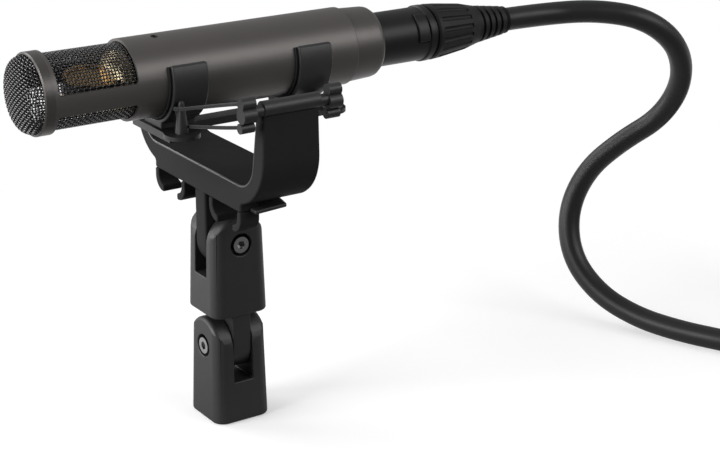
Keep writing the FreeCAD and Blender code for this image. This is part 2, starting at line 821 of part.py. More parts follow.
def rear_end():
    joint, end = dim("body_rear"), dim("cap_end")
    wide, narrow, rounding = dim("cap_radius"), dim("cap_end_radius"), dim("cap_round")
    spigot = dim("bore_radius")
    socket, floor = dim("socket_radius"), dim("socket_floor")
    mic_node(
        turned(
            "rear_cap",
            [
                (joint - 6, spigot - 1.8),
                (joint - 6, spigot),
                (joint, spigot),
                (joint, wide),
                (end - rounding, narrow),
                (end - rounding * 0.62, narrow - rounding * 0.07),
                (end - rounding * 0.29, narrow - rounding * 0.29),
                (end - rounding * 0.07, narrow - rounding * 0.62),
                (end, narrow - rounding),
                (end, socket),
                (floor - 2, socket),
                (floor - 2, spigot - 1.8),
            ],
        )
    )
    disc = rod("connector_disc", "x", floor - 2, floor, socket)
    circle = SIZES["pin_circle"]
    places = list(enumerate(pin_places(circle)))
    holes = [rod(f"connector_hole{i}", "x", floor - 2, floor, dim("pin_radius"), p) for i, p in places]
    mic_node(cut("connector_insert", disc, *holes))
    pins = [rod(f"pin{i}", "x", floor - 4, floor + 10.6, dim("pin_radius"), p) for i, p in places]
    mic_node(group("contact_pins", *pins))


# ------------------------------------------------------------------------------------------------------------- plugs


def grip_collar(label):
    """The tapered collar with lengthwise flutes behind a plug's shell."""
    start, end = dim("collar_start"), dim("collar_end")
    bore = dim("cable_radius") + 3
    blank = turned(
        f"{label}_blank",
        [
            (start, bore),
            (start, 9.6),
            (start + 0.8, 10.0),
            (start + 4.4, 9.75),
            (start + 15.4, 8.4),
            (end, 7.3),
            (end, dim("cable_radius")),
            (end - 2, dim("cable_radius")),
            (end - 2, bore - 1),
        ],
    )
    flutes = []
    count = 16
    for i in range(count):
        turn = math.radians(360 * i / count)
        out_first, out_last = 10.35, 8.75
        first = Vector(SIZES["collar_start"] + 2.2, out_first * math.cos(turn), out_first * math.sin(turn))
        last = Vector(SIZES["collar_start"] + 16.4, out_last * math.cos(turn), out_last * math.sin(turn))
        flutes.append(bar(f"{label}_flute{i}", first, last, 1.0))
    return cut(f"{label}_collar", blank, *flutes)


def ringed_boot(label):
    """The strain relief: a tapered sleeve with five rings."""
    start, end = dim("collar_end"), dim("boot_end")
    bore = dim("cable_radius")
    count, pitch = 5, 2.95
    wide, narrow = 7.1, 5.0
    corners = [(start, bore)]
    for i in range(count):
        ridge = wide + (narrow + 0.5 - wide) * i / (count - 1)
        x = start + i * pitch
        corners += [(x, ridge), (x + 1.6, ridge - 0.15), (x + 1.8, ridge - 1.0), (x + 2.7, ridge - 1.1)]
    corners += [(end, narrow), (end, bore)]
    return turned(f"{label}_boot", corners)


def cable_clamp(label):
    """The slotted chuck inside the collar that grips the cable."""
    tube = cut(
        f"{label}_clamp_tube",
        rod(f"{label}_clamp_outer", "x", dim("plug_gap") - 6, dim("collar_end") - 2.2, dim("cable_radius") + 1.9),
        rod(f"{label}_clamp_inner", "x", dim("plug_gap") - 6, dim("collar_end") - 2.2, dim("cable_radius")),
    )
    slit = box(f"{label}_clamp_slit", (dim("plug_gap") + 4, -8, -0.6), (dim("collar_end"), 8, 0.6))
    return cut(f"{label}_clamp", tube, slit)


LATCH_ANGLE = 35.0


def near_plug():
    """The plug in the microphone's rear socket. Its pieces are built along X from the shoulder."""
    shoulder, axis = dim("cap_end"), dim("axis_height")
    nose, barrel, belt = dim("nose_radius"), dim("plug_radius"), dim("belt_radius")
    front = -dim("nose_length")
    gap, collar_start = dim("plug_gap"), dim("collar_start")
    shell = turned(
        "plug_shell_blank",
        [
            (front, nose - 0.7),
            (front, nose - 0.3),
            (front + 0.3, nose),
            (0, nose),
            (0, barrel - 0.3),
            (0.3, barrel),
            (dim("plug_belt") - 0.5, barrel),
            (dim("plug_belt"), belt),
            (gap - 0.4, belt),
            (gap, belt - 0.4),
            (gap, belt - 0.9),
            (collar_start, belt - 0.9),
            (collar_start, nose - 0.7),
        ],
    )
    x_low, x_high = dim("plug_belt") - 5.4, dim("plug_belt") - 0.9
    window = box("latch_window", (x_low - 0.2, -5.2, 6), (x_high + 0.2, 5.2, 12))
    latch_turn = FreeCAD.Rotation(X_AXIS, 90 - LATCH_ANGLE)
    latch_place = FreeCAD.Placement(Vector(0, 0, 0), latch_turn)
    window.Placement = latch_place.multiply(window.Placement)
    window.setExpression(".Placement.Base.x", None)
    window.setExpression(".Placement.Base.y", None)
    window.setExpression(".Placement.Base.z", None)
    button_block = box("latch_block", (x_low, -5, 7.45), (x_high, 5, 12))
    button_round = rod("latch_round", "x", x_low, x_high, belt + 0.35)
    button = common("latch_button", button_block, button_round)
    insert_blank = rod("plug_insert_blank", "x", front + 0.3, 7.4, nose - 0.7)
    sleeve = dim("pin_radius") + 0.75
    circle = SIZES["pin_circle"]
    holes = [
        rod(f"plug_hole{i}", "x", front + 0.3, 7.4, sleeve, place_of) for i, place_of in enumerate(pin_places(circle))
    ]
    sleeves = []
    for i, place_of in enumerate(pin_places(circle)):
        outer = rod(f"sleeve_outer{i}", "x", front + 0.6, 7.0, sleeve, place_of)
        inner = rod(f"sleeve_inner{i}", "x", front + 0.6, 5.0, dim("pin_radius") + 0.1, place_of)
        sleeves.append(cut(f"sleeve{i}", outer, inner))
    for feature in (
        cut("plug_shell", shell, window),
        cut("plug_insert", insert_blank, *holes),
        group("contact_sleeves", *sleeves),
        cable_clamp("plug"),
        grip_collar("plug"),
        ringed_boot("plug"),
    ):
        nodes.append(place(feature, shoulder, 0, axis, FreeCAD.Rotation(X_AXIS, SIZES["roll"])))
    nodes.append(place(button, shoulder, 0, axis, FreeCAD.Rotation(X_AXIS, SIZES["roll"]).multiply(latch_turn)))


def far_plug():
    """The plug on the cable's other end, lying across the coil with its boot towards -X."""
    boot = dim("coil_x") - 10
    y = dim("coil_y") - 23
    height = dim("coil_half") * 2 + belt_lift()
    nose = dim("nose_radius")
    belt, gap = dim("belt_radius"), dim("plug_gap")
    shell = turned(
        "far_plug_shell",
        [
            (-9, nose + 0.2),
            (-9, dim("plug_radius") - 0.3),
            (-8.7, dim("plug_radius")),
            (dim("plug_belt"), dim("plug_radius")),
            (dim("plug_belt") + 0.4, belt),
            (gap - 0.4, belt),
            (gap, belt - 0.9),
            (dim("collar_start"), belt - 0.9),
            (dim("collar_start"), nose + 0.2),
        ],
    )
    insert_blank = rod("far_insert_blank", "x", 5, 9, nose + 0.2)
    circle = SIZES["pin_circle"]
    holes = [rod(f"far_hole{i}", "x", 5, 9, dim("pin_radius"), p) for i, p in enumerate(pin_places(circle))]
    pins = [rod(f"far_pin{i}", "x", -6, 10, dim("pin_radius"), p) for i, p in enumerate(pin_places(circle))]
    turn = FreeCAD.Rotation(Z_AXIS, 180)
    for feature in (
        shell,
        cut("far_plug_insert", insert_blank, *holes),
        group("far_plug_pins", *pins),
        grip_collar("far_plug"),
        ringed_boot("far_plug"),
    ):
        nodes.append(place(feature, boot + dim("boot_end"), y, height, turn))


def belt_lift():
    return dim("belt_radius") + 0.05


# ------------------------------------------------------------------------------------------------------------- cable

# The cable's route from the plug's boot to the coil, and from the coil to the far plug's boot.
CABLE_ROUTE = (
    (118.4, 0, 127),
    (138.3, 0, 126.8),
    (155, -10.6, 128.1),
    (170.3, -21, 125.1),
    (184.5, -24.4, 113.9),
    (192, -20.7, 97.5),
    (189.5, -12.4, 81.3),
    (179.6, -1, 70.3),
    (169.9, 7.8, 57.6),
    (163, 10.2, 40.6),
    (160.6, 3.6, 23.5),
    (163.9, -10, 11.5),
    (170, -26.3, 5.7),
    (176.7, -43.2, 4.3),
    (184.3, -59.7, 4.4),
    (192.8, -75.6, 4.3),
    (206.2, -87.6, 4.4),
    (225, -94.4, 4.3),
    (252, -98.2, 4.4),
    (293, -101.5, 4.3),
)
TAIL_ROUTE = (
    (283, -68, 35.6),
    (260, -68, 35.4),
    (244, -56.3, 34.4),
    (237.9, -37.5, 33.1),
    (244, -18.6, 31.7),
    (260, -7, 29.8),
    (281, -7, 25),
)


def smooth_wire(route):
    """Straight runs joined by tangent arcs as large as their runs allow."""
    points = [Vector(*p) for p in route]
    edges, radii = [], []
    start = points[0]
    for before, corner, after in zip(points, points[1:], points[2:]):
        back, ahead = (before - corner), (after - corner)
        shorter = min(back.Length, ahead.Length)
        back.normalize()
        ahead.normalize()
        inside = back.getAngle(ahead)
        setback = 0.45 * shorter
        radii.append(setback * math.tan(inside / 2))
        first, last = corner + back * setback, corner + ahead * setback
        bisector = back + ahead
        bisector.normalize()
        centre_distance = radii[-1] / math.sin(inside / 2)
        midpoint = corner + bisector * (centre_distance - radii[-1])
        edges.append(Part.LineSegment(start, first).toShape())
        edges.append(Part.Arc(first, midpoint, last).toShape())
        start = last
    edges.append(Part.LineSegment(start, points[-1]).toShape())
    return Part.Wire(edges), radii


def cable_tube(label, route, radius):
    """A round tube along a route."""
    wire, radii = smooth_wire(route)
    heading = wire.Edges[0].tangentAt(wire.Edges[0].FirstParameter)
    circle = Part.Wire(Part.makeCircle(radius, wire.Vertexes[0].Point, heading))
    shape = wire.makePipeShell([circle], True, False)
    expected = math.pi * radius * radius * wire.Length
    print(
        f"{label}: length {wire.Length:.1f}, volume ratio {shape.Volume / expected:.4f}, "
        f"smallest radius {min(radii):.1f}, radii {[round(r) for r in radii]}"
    )
    feature = add("Part::Feature", label)
    feature.Shape = shape
    nodes.append(feature)


def coil():
    """The wound rest of the cable as one ring, and the strap over it."""
    turn, half = dim("coil_turn"), dim("coil_half")
    bevel = dim("cable_radius") * 0.8
    inner, outer, top = turn - half, turn + half, half * 2
    ring = turned(
        "cable_coil",
        [
            (inner + bevel, 0),
            (outer - bevel, 0),
            (outer, bevel),
            (outer, top - bevel),
            (outer - bevel, top),
            (inner + bevel, top),
            (inner, top - bevel),
            (inner, bevel),
        ],
        "V_Axis",
    )
    nodes.append(place(ring, dim("coil_x"), dim("coil_y"), 0))
    skin = dim("strap_thickness")
    shell = box("strap_outer", (inner - skin, -4, 0), (outer + skin, 4, top + skin))
    hollow = box("strap_inner", (inner, -5, skin), (outer, 5, top))
    nodes.append(place(cut("cable_strap", shell, hollow), dim("coil_x"), dim("coil_y"), 0))


def main():
    foot()
    pivot_screw("lower_pivot", "x", dim("low_pivot"))
    middle()
    pivot_screw("upper_pivot", "y", dim("high_pivot"))
    yoke()
    for name, side in (("near", -1), ("far", 1)):
        hook_bar(f"{name}_hook_bar", side)
        cable_hook(f"{name}_cable_hook", side)
        node(elastic(f"front_{name}_elastic", side, -1, dim("elastic_radius")))
        node(elastic(f"rear_{name}_elastic", side, 1, dim("elastic_radius")))
    rest_plate()
    cradle()
    microphone()
    rear_end()
    near_plug()
    radius = SIZES["cable_radius"]
    cable_tube("cable_run", CABLE_ROUTE, radius)
    coil()
    cable_tube("cable_tail", TAIL_ROUTE, radius)
    far_plug()
    doc.recompute()
    for feature in doc.Objects:
        if "Invalid" in feature.State or "Error" in feature.State:
            raise RuntimeError(f"{feature.Label} failed: {feature.State}")
    for feature in nodes:
        if feature.Shape.isNull() or not feature.Shape.isValid():
            raise RuntimeError(f"{feature.Label} has no valid shape")
    os.makedirs("parts", exist_ok=True)
    for feature in nodes:
        shape = feature.Shape
        bounds = shape.BoundBox
        print(
            f"{feature.Label}: {len(shape.Solids)} solids, {shape.Volume:.1f} mm3, "
            f"x {bounds.XMin:.1f}..{bounds.XMax:.1f} y {bounds.YMin:.1f}..{bounds.YMax:.1f} "
            f"z {bounds.ZMin:.1f}..{bounds.ZMax:.1f}"
        )
        (shape.Solids[0] if len(shape.Solids) == 1 else shape).exportStep(f"parts/{feature.Label}.step")
    print(len(nodes), "nodes")


main()
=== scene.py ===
"""Looks for the suspended studio microphone: materials, grilles, cable and studio around the CAD frame."""
import json
import math

import bmesh
import bpy
import numpy as np
from mathutils import Matrix, Vector


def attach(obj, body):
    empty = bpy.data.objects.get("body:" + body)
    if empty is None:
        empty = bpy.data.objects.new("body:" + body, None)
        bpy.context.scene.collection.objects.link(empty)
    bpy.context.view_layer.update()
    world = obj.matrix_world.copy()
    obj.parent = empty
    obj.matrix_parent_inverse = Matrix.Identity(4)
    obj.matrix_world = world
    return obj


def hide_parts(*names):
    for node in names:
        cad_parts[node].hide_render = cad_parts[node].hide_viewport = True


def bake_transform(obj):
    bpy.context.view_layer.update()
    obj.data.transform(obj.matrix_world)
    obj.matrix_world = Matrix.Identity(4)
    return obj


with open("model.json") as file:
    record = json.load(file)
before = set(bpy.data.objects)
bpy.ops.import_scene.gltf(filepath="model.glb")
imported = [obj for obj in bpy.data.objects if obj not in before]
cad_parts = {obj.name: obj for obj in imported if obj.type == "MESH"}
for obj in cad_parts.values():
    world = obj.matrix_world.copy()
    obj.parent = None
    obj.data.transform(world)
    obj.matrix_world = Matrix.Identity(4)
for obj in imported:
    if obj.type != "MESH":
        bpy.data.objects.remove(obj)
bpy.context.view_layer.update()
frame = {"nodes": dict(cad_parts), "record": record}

# The frame is in metres. Sizes of pieces here are in millimetres, and those of the studio in metres.
MM = 0.001


def metres(points):
    """Points given in millimetres, as metres."""
    return [tuple(MM * value for value in point) for point in points]


def path_lengths(points):
    """How far along a line each of its points lies."""
    return np.concatenate([[0], np.cumsum(np.linalg.norm(np.diff(points, axis=0), axis=1))])


# ------------------------------------------------------------------------------------------------ camera

# Where the camera looks, how far away it is, and the direction in which it lies from there, in metres. Its
# lens and sensor are in millimetres.
TARGET = Vector((0.0615, 0.0, 0.0518))
DISTANCE = 0.6588
AZIMUTH, ELEVATION, ROLL = math.radians(-34.4), math.radians(20.3), math.radians(0.43)
LENS = 90.0
SENSOR_WIDTH = 36.0
SHIFT = (-0.0185, 0.0063)


def make_camera():
    """A long lens in front of the object's left side, looking slightly down."""
    data = bpy.data.cameras.new("camera")
    data.lens = LENS
    data.sensor_width = SENSOR_WIDTH
    data.shift_x, data.shift_y = SHIFT
    data.clip_start = 0.01
    data.clip_end = 50.0
    camera = bpy.data.objects.new("camera", data)
    bpy.context.collection.objects.link(camera)
    back = Vector(
        (
            math.sin(AZIMUTH) * math.cos(ELEVATION),
            -math.cos(AZIMUTH) * math.cos(ELEVATION),
            math.sin(ELEVATION),
        )
    )
    camera.location = TARGET + back * DISTANCE
    turn = (-back).to_track_quat("-Z", "Y") @ Matrix.Rotation(ROLL, 3, "Z").to_quaternion()
    camera.rotation_mode = "QUATERNION"
    camera.rotation_quaternion = turn
    bpy.context.scene.camera = camera


make_camera()
bpy.context.scene.view_settings.view_transform = "Standard"

# --------------------------------------------------------------------------------------------- materials

PAINT = (0.135, 0.126, 0.121, 1)
BLACK = (0.018, 0.018, 0.0185, 1)
PLUG_BLACK = (0.009, 0.009, 0.0095, 1)
TEXTILE_BLACK = (0.02, 0.02, 0.021, 1)
RUBBER_BLACK = (0.013, 0.013, 0.013, 1)
BRASS = (0.62, 0.43, 0.17, 1)
STEEL = (0.5, 0.5, 0.51, 1)
# A paler, lighter copy of the gold: a painted gleam on the capsule's dome.
PAINTED_GLEAM_GOLD = (0.96, 0.8, 0.52, 1)
GOLD = (0.62, 0.4, 0.17, 1)
CHASSIS_GREY = (0.42, 0.42, 0.41, 1)
CAPSULE_BLACK = (0.02, 0.019, 0.018, 1)
FILM_RED = (0.42, 0.07, 0.035, 1)
# Lit and shaded copies of the grilles' one wire metal: painted shade on one set of wires, painted light on
# the other.
PAINTED_SHADE_WIRE = (0.045, 0.045, 0.046, 1)
PAINTED_LIT_WIRE = (0.17, 0.17, 0.174, 1)
MASK_GREEN = (0.012, 0.075, 0.03, 1)
TRACK_GREEN = (0.03, 0.15, 0.05, 1)
TIN = (0.6, 0.58, 0.52, 1)

# How many clouds of colour and of roughness a painted or moulded surface has in a metre.
COLOUR_CLOUDS = 60.0
ROUGHNESS_CLOUDS = 220.0


class Nodes:
    """A material's node tree with short calls for what its surfaces need."""

    def __init__(self, name):
        self.material = bpy.data.materials.new(name)
        self.material.use_nodes = True
        self.tree = self.material.node_tree
        self.tree.nodes.clear()
        self.output = self.tree.nodes.new("ShaderNodeOutputMaterial")

    def add(self, kind, inputs=None, **settings):
        """A node with its settings. Each input gets a number or a link from another node's output."""
        made = self.tree.nodes.new("ShaderNode" + kind)
        for key, value in settings.items():
            setattr(made, key, value)
        for key, value in (inputs or {}).items():
            named = isinstance(key, int) or key in made.inputs
            socket = made.inputs[key] if named else self.hidden(made, key)
            if isinstance(value, bpy.types.NodeSocket):
                self.tree.links.new(value, socket)
            else:
                socket.default_value = value
        return made

    @staticmethod
    def hidden(made, identifier):
        """The input with an identifier, for nodes that have several inputs of one name."""
        return next(socket for socket in made.inputs if socket.identifier == identifier)

    def math(self, operation, first, second=0.0):
        return self.add("Math", {0: first, 1: second}, operation=operation).outputs[0]

    def ramp(self, factor, *stops):
        """Colours blended by a factor, from pairs of a position and a colour."""
        made = self.add("ValToRGB", {"Fac": factor})
        for element, (position, colour) in zip(made.color_ramp.elements, stops):
            element.position = position
            element.color = colour
        return made.outputs["Color"]

    def noise(self, place, scale, detail=2.0, roughness=0.5):
        inputs = {"Vector": place, "Scale": scale, "Detail": detail, "Roughness": roughness}
        return self.add("TexNoise", inputs).outputs["Fac"]

    def place(self, stretch=(1, 1, 1)):
        """The object's own coordinates, which are metres in the shared frame, stretched along its axes."""
        found = self.add("TexCoord").outputs["Object"]
        return self.add("Mapping", {"Vector": found, "Scale": stretch}).outputs["Vector"]

    def mix(self, factor, first, second):
        inputs = {"Factor_Float": factor, "A_Color": first, "B_Color": second}
        return self.add("Mix", inputs, data_type="RGBA").outputs[2]

    def relief(self, height, depth):
        """A normal from a height field, with its depth in millimetres."""
        inputs = {"Height": height, "Distance": depth * MM, "Strength": 1.0}
        return self.add("Bump", inputs).outputs["Normal"]

    def principled(self, inputs):
        """The finished material, with one shader on its surface."""
        return self.surface(self.add("BsdfPrincipled", inputs).outputs["BSDF"])

    def surface(self, shader):
        self.tree.links.new(shader, self.output.inputs["Surface"])
        return self.material


def grey(value):
    """A neutral colour."""
    return (value, value, value, 1.0)


def tint(colour, factor):
    """A colour made lighter or darker."""
    return tuple(min(1.0, part * factor) for part in colour[:3]) + (1.0,)


def finish_of(
    name,
    colour,
    roughness,
    spread=0.05,
    drift=0.06,
    grain=0.25,
    depth=0.01,
    metallic=0.0,
    specular=0.5,
    stretch=(1, 1, 1),
):
    """A painted, moulded or metal surface. Its colour drifts a little over centimetres, its relief has a
    fine grain, and its roughness wanders by the spread about its middle value. The grain's size and depth
    are in millimetres."""
    nodes = Nodes(name)
    place = nodes.place(stretch)
    cloud = nodes.noise(place, COLOUR_CLOUDS, 3.0)
    fine = nodes.noise(place, 1 / MM / grain, 3.0, 0.6)
    base = nodes.ramp(cloud, (0.3, tint(colour, 1 - drift)), (0.7, tint(colour, 1 + drift)))
    base = nodes.mix(nodes.math("MULTIPLY", fine, 0.5), base, tint(colour, 1 + 2 * drift))
    wander = nodes.noise(place, ROUGHNESS_CLOUDS, 4.0)
    limits = {"To Min": roughness - spread, "To Max": roughness + spread}
    rough = nodes.add("MapRange", {"Value": wander, **limits})
    return nodes.principled(
        {
            "Base Color": base,
            "Roughness": rough.outputs[0],
            "Normal": nodes.relief(fine, depth),
            "Metallic": metallic,
            "Specular IOR Level": specular,
        }
    )


def paint_finish(name, shade, roughness):
    """The microphone's satin metallic paint in one of its shades."""
    fine = {"grain": 0.12, "depth": 0.004, "drift": 0.03, "spread": 0.03}
    return finish_of(name, tint(PAINT, shade), roughness, metallic=0.55, **fine)


def wire_finish(name, colour, roughness):
    """Drawn wire, which is nearly bare metal."""
    return finish_of(name, colour, roughness, metallic=0.9, grain=0.08, depth=0.003)


def woven_finish(name, colour, roughness, around, along):
    """A braided sheath over round elastic, of two sets of slanting yarns. They are counted around it and in
    a metre along it."""
    nodes = Nodes(name)
    uv = nodes.add("SeparateXYZ", {0: nodes.add("UVMap", uv_map="strand").outputs[0]})
    turn = nodes.math("MULTIPLY", uv.outputs[0], around * 2 * math.pi)
    run = nodes.math("MULTIPLY", uv.outputs[1], along * 2 * math.pi)
    left = nodes.math("SINE", nodes.math("ADD", turn, run))
    right = nodes.math("SINE", nodes.math("SUBTRACT", turn, run))
    yarn = nodes.math("MAXIMUM", left, right)
    level = nodes.add("MapRange", {"Value": yarn, "From Min": -0.6, "From Max": 1.0})
    fuzz = nodes.noise(nodes.place(), 9000.0)
    height = nodes.math("ADD", level.outputs[0], nodes.math("MULTIPLY", fuzz, 0.4))
    # The colour follows the braid's height: painted shade in the hollows between the yarns, and a painted
    # highlight on their crests.
    base = nodes.ramp(level.outputs[0], (0.1, tint(colour, 0.35)), (0.8, tint(colour, 1.25)))
    return nodes.principled(
        {
            "Base Color": base,
            "Roughness": roughness,
            "Normal": nodes.relief(height, 0.09),
            "Sheen Weight": 0.25,
            "Sheen Roughness": 0.5,
        }
    )


def loop_tape_finish(name, colour):
    """Hook-and-loop tape: tiny loops standing in rows on a woven band."""
    nodes = Nodes(name)
    place = nodes.place()
    loops = nodes.add("TexVoronoi", {"Vector": place, "Scale": 1900.0}).outputs["Distance"]
    weave = nodes.add("TexWave", {"Vector": place, "Scale": 420.0, "Distortion": 1.0}).outputs["Fac"]
    height = nodes.math("ADD", loops, nodes.math("MULTIPLY", weave, 0.4))
    # The colour follows the height of loops and weave: painted shade in the hollows and painted highlight on
    # top.
    base = nodes.ramp(height, (0.2, tint(colour, 0.5)), (0.8, tint(colour, 1.5)))
    return nodes.principled(
        {
            "Base Color": base,
            "Roughness": 0.85,
            "Normal": nodes.relief(height, 0.12),
            "Sheen Weight": 0.4,
            "Sheen Roughness": 0.4,
        }
    )


def board_finish(name):
    """Green solder mask over fine copper tracks, with tinned pads."""
    nodes = Nodes(name)
    place = nodes.place()
    tracks = nodes.add("TexBrick", {"Vector": place, "Scale": 260.0, "Mortar Size": 0.06}).outputs["Fac"]
    spots = nodes.add("TexVoronoi", {"Vector": place, "Scale": 330.0}).outputs["Distance"]
    pad = nodes.math("LESS_THAN", spots, 0.16)
    mask = nodes.mix(tracks, MASK_GREEN, TRACK_GREEN)
    base = nodes.mix(pad, mask, TIN)
    height = nodes.math("ADD", tracks, pad)
    return nodes.principled(
        {
            "Base Color": base,
            "Roughness": 0.35,
            "Metallic": pad,
            "Normal": nodes.relief(height, 0.03),
        }
    )


FINISHES = {
    "plastic_black": finish_of(
        "moulded_plastic", BLACK, 0.48, grain=0.35, depth=0.018, drift=0.1, specular=0.65
    ),
    "yoke_plastic": finish_of(
        "grained_plastic", tint(BLACK, 1.7), 0.55, grain=0.3, depth=0.03, specular=0.03
    ),
    # A lighter copy of the yoke's black plastic: the bead's colour is a painted highlight line along the
    # yoke's edge.
    "yoke_highlight_bead": finish_of("bead_painted_highlight", tint(BLACK, 2.4), 0.3, grain=0.2, depth=0.004, specular=0.7),
    "clip_plastic": finish_of("clip_plastic", tint(BLACK, 1.8), 0.42, grain=0.3, depth=0.015, drift=0.1),
    "brass": finish_of("turned_brass", BRASS, 0.28, metallic=1.0, stretch=(1, 1, 12), depth=0.004),
    "screw_steel": finish_of("screw_steel", STEEL, 0.22, metallic=1.0, depth=0.005),
    "rubber": finish_of("lining_rubber", RUBBER_BLACK, 0.78, grain=0.5, depth=0.03, drift=0.15),
    "mic_body": paint_finish("body_paint", 1.0, 0.43),
    "mic_ring": paint_finish("ring_paint", 0.78, 0.4),
    "mic_cap": paint_finish("cap_paint", 0.9, 0.4),
    # One wire metal in two copies: the dark one carries painted shade, the bright one painted light.
    "painted_shade_wire": wire_finish("grille_wire_painted_shade", PAINTED_SHADE_WIRE, 0.25),
    # The dome's gold, made paler and lighter as a painted gleam.
    "gold_painted_gleam": finish_of("dome_gold_painted_gleam", PAINTED_GLEAM_GOLD, 0.33, metallic=1.0, depth=0.002, drift=0.04),
    "mesh": wire_finish("grille_wire_painted_lit", PAINTED_LIT_WIRE, 0.24),
    "capsule_plastic": finish_of("capsule_plastic", CAPSULE_BLACK, 0.4, depth=0.008),
    "gold": finish_of("vapour_gold", GOLD, 0.24, metallic=1.0, depth=0.003, drift=0.04),
    "chassis": finish_of("chassis_metal", CHASSIS_GREY, 0.38, metallic=1.0, stretch=(1, 14, 14)),
    "board": board_finish("solder_mask"),
    "capacitor": finish_of("film_box", FILM_RED, 0.42, grain=0.4, depth=0.012),
    "plug_black": finish_of(
        "plug_lacquer", PLUG_BLACK, 0.42, grain=0.3, depth=0.003, spread=0.04, specular=0.36
    ),
    "plug_collar": finish_of("grip_rubber", PLUG_BLACK, 0.52, grain=0.3, depth=0.02, specular=0.34),
    "cable": finish_of("cable_jacket", BLACK, 0.42, grain=0.3, depth=0.006, spread=0.04, specular=0.4),
    "strap": loop_tape_finish("loop_tape", TEXTILE_BLACK),
    "elastic": woven_finish("braided_sheath", TEXTILE_BLACK, 0.8, around=8, along=900),
}

# ------------------------------------------------------------------------------------------------- cable

# The cable's route from the plug's boot to the coil, and the tail's from the far plug's boot to the coil,
# in millimetres.
CABLE_ROUTE = (
    (118.4, 0, 127),
    (138.3, 0, 126.8),
    (155, -10.6, 128.1),
    (170.3, -21, 125.1),
    (184.5, -24.4, 113.9),
    (192, -20.7, 97.5),
    (189.5, -12.4, 81.3),
    (179.6, -1, 70.3),
    (169.9, 7.8, 57.6),
    (163, 10.2, 40.6),
    (160.6, 3.6, 23.5),
    (163.9, -10, 11.5),
    (170, -26.3, 5.7),
    (176.7, -43.2, 4.3),
    (184.3, -59.7, 4.4),
    (192.8, -75.6, 4.3),
    (206.2, -87.6, 4.4),
    (225, -94.4, 4.3),
    (252, -98.2, 4.4),
    (293, -101.5, 4.3),
)
TAIL_ROUTE = (
    (283, -68, 35.6),
    (260, -68, 35.4),
    (244, -56.3, 34.4),
    (237.9, -37.5, 33.1),
    (244, -18.6, 31.7),
    (260, -7, 29.8),
    (281, -7, 25),
)
CABLE_DIAMETER = 8.5
COIL_CENTRE = (293.0, -45.0)
COIL_RADIUS = 48.0
COIL_START = 270
COIL_STEP = 24

# The coil has three tracks side by side in each of three layers. Its winding is given where a change of
# track or layer starts or ends: the degrees wound, the radius and the height. Its end rises to the tail.
INNER, MIDDLE, OUTER = (COIL_RADIUS + track * CABLE_DIAMETER for track in (-1, 0, 1))
BOTTOM, HALFWAY, TOP = (CABLE_DIAMETER * (layer + 0.5) for layer in range(3))
COIL_TRACKS = (
    (0, OUTER, BOTTOM),
    (300, OUTER, BOTTOM),
    (360, MIDDLE, BOTTOM),
    (660, MIDDLE, BOTTOM),
    (720, INNER, BOTTOM),
    (960, INNER, BOTTOM),
    (1020, INNER, HALFWAY),
    (1260, INNER, HALFWAY),
    (1320, MIDDLE, HALFWAY),
    (1620, MIDDLE, HALFWAY),
    (1680, OUTER, HALFWAY),
    (1950, OUTER, HALFWAY),
    (2010, OUTER, TOP),
    (2250, OUTER, TOP),
    (2310, MIDDLE, TOP),
    (2610, MIDDLE, TOP),
    (2670, INNER, TOP + 0.35),
    (2717, INNER, TOP + 3.75),
)


def eased(share):
    """A share from 0 to 1 that starts and ends gently."""
    return share * share * (3 - 2 * share)


def coil_points():
    """The coil's control points. They lie a little outside the turns, because the spline cuts inside."""
    points = []
    outward = 1 / math.cos(math.radians(COIL_STEP / 2))
    last = COIL_TRACKS[-1][0]
    for wound in range(COIL_STEP, last, COIL_STEP):
        leg = max(i for i, track in enumerate(COIL_TRACKS) if track[0] <= wound)
        start, end = COIL_TRACKS[leg], COIL_TRACKS[leg + 1]
        share = eased((wound - start[0]) / (end[0] - start[0]))
        radius = (start[1] + (end[1] - start[1]) * share) * outward
        height = start[2] + (end[2] - start[2]) * share
        angle = math.radians(COIL_START + wound)
        x = COIL_CENTRE[0] + radius * math.cos(angle)
        y = COIL_CENTRE[1] + radius * math.sin(angle)
        points.append((x, y, height))
    return points


def make_cable(material):
    """The whole cable, from the boot behind the plug through the coil to the far plug's boot."""
    points = metres([*CABLE_ROUTE, *coil_points(), *reversed(TAIL_ROUTE)])
    data = bpy.data.curves.new("cable", "CURVE")
    data.dimensions = "3D"
    spline = data.splines.new("NURBS")
    spline.points.add(len(points) - 1)
    for control, point in zip(spline.points, points):
        control.co = (*point, 1.0)
    spline.order_u = 3
    spline.use_endpoint_u = True
    data.resolution_u = 8
    data.bevel_depth = MM * CABLE_DIAMETER / 2
    data.bevel_resolution = 6
    data.use_fill_caps = True
    data.materials.append(material)
    cable = bpy.data.objects.new("cable", data)
    bpy.context.collection.objects.link(cable)
    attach(cable, "plug")
    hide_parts("cable_run", "cable_coil", "cable_tail")


make_cable(FINISHES["cable"])

# -------------------------------------------------------------------------------------------- CAD solids

SLOTS = {row["node"]: row["material_slot"] for row in frame["record"]["subparts"]}

# The width of a solid's rounded edges in millimetres. Only edges sharper than the sharp angle get them.
EDGE_WIDTHS = {
    "yoke": 0.8,
    "lower_clevis": 0.4,
    "upper_clevis": 0.4,
    "front_clip": 0.6,
    "rear_clip": 0.6,
    "near_cable_hook": 0.5,
    "far_cable_hook": 0.5,
    "rest_plate": 0.4,
    "latch_button": 0.3,
}
SHARP_ANGLE = 32
FLAT_ANGLE = 0.6

# Solids that look different from the rest of their material slot.
SPECIAL_FINISHES = {
    "front_ring": "mic_ring",
    "set_screw": "plug_black",
    "capsule_bulkhead": "gold",
    "capsule_stem": "brass",
    "yoke": "yoke_plastic",
    "near_cable_hook": "yoke_plastic",
    "far_cable_hook": "yoke_plastic",
    "front_clip": "clip_plastic",
    "rear_clip": "clip_plastic",
}


